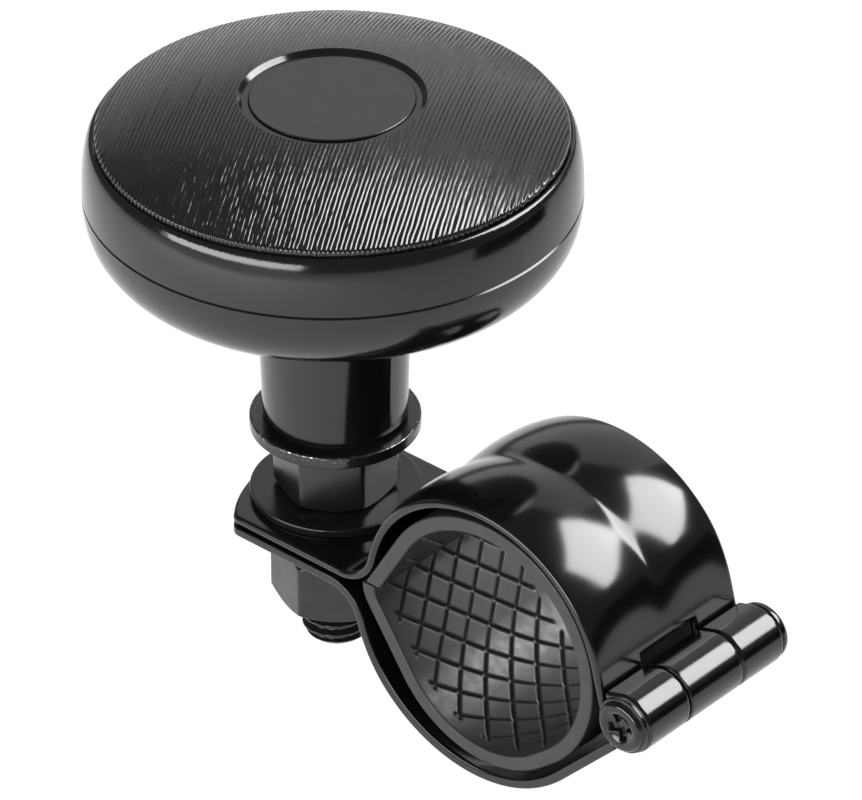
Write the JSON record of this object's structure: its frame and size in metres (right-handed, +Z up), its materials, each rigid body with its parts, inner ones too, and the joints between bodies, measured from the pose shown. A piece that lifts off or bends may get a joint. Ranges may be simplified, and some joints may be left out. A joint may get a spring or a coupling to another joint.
{
  "type": "steering wheel spinner knob",
  "caption": "Round spinner knob that turns on a ball bearing above a hinged strap clamp with a rubber liner, which one nut closes round a steering wheel's rim.",
  "frame": {"origin": "centre of the liner's bore, where the wheel's rim goes, halfway along the clamp's width", "axes": "+Y along the gripped rim, +X from the post to the hinge, +Z up along the post to the knob"},
  "size_m": [0.1009, 0.0666, 0.0855],
  "materials": {
    "clamp_coat": "high-gloss black coating on pressed steel",
    "pin_coat": "gloss black coating",
    "spindle_coat": "satin black coating on turned steel",
    "nut_oxide": "satin black oxide",
    "liner_rubber": "satin dark grey rubber",
    "shell_plastic": "high-gloss black plastic",
    "insert_plastic": "semi-gloss black plastic with fine grain lines",
    "medallion_plastic": "smooth satin black plastic",
    "bush_acetal": "natural acetal",
    "race_steel": "ground bearing steel",
    "ball_steel": "polished bearing steel",
    "spring_steel": "zinc-plated steel"
  },
  "bodies": {
    "clamp_and_spindle": {"upper_clamp_half": "clamp_coat", "rim_liner": "liner_rubber", "spindle": "spindle_coat", "collar_washer": "spindle_coat", "bearing_inner_race": "race_steel", "thrust_washer": "race_steel", "retaining_ring": "spring_steel", "hinge_sleeve": "pin_coat", "hinge_screw": "pin_coat"},
    "knob": {"top_insert": "insert_plastic", "centre_medallion": "medallion_plastic", "upper_shell": "shell_plastic", "lower_shell": "shell_plastic", "shell_screws": "spring_steel", "bearing_outer_race": "race_steel", "bearing_shields": "race_steel", "neck_bush": "bush_acetal"},
    "ball_cage": {"bearing_cage": "race_steel", "bearing_balls": "ball_steel"},
    "nut_stack": {"hex_nut": "nut_oxide", "spring_washer": "nut_oxide", "flat_washer": "nut_oxide"},
    "lower_jaw": {"lower_clamp_half": "clamp_coat"}
  },
  "joints": [
    {"name": "knob_spin", "type": "hinge", "parent": "clamp_and_spindle", "child": "knob", "pos_m": [-0.0392, 0, 0.04], "axis": [0, 0, 1], "continuous": true},
    {"name": "cage_spin", "type": "hinge", "parent": "clamp_and_spindle", "child": "ball_cage", "pos_m": [-0.0392, 0, 0.04], "axis": [0, 0, 1], "continuous": true},
    {"name": "nut_slide", "type": "slide", "parent": "clamp_and_spindle", "child": "nut_stack", "axis": [0, 0, -1], "range_m": [0, 0.08]},
    {"name": "jaw_hinge", "type": "hinge", "parent": "clamp_and_spindle", "child": "lower_jaw", "pos_m": [0.0241, 0, -0.0015], "axis": [0, -1, 0], "range_deg": [0, 60.4]}
  ],
  "couplings": [
    {"joint": "cage_spin", "follows": "knob_spin", "ratio": 0.6},
    {"joint": "jaw_hinge", "follows": "nut_slide", "rad_per_m": 13.158}
  ]
}
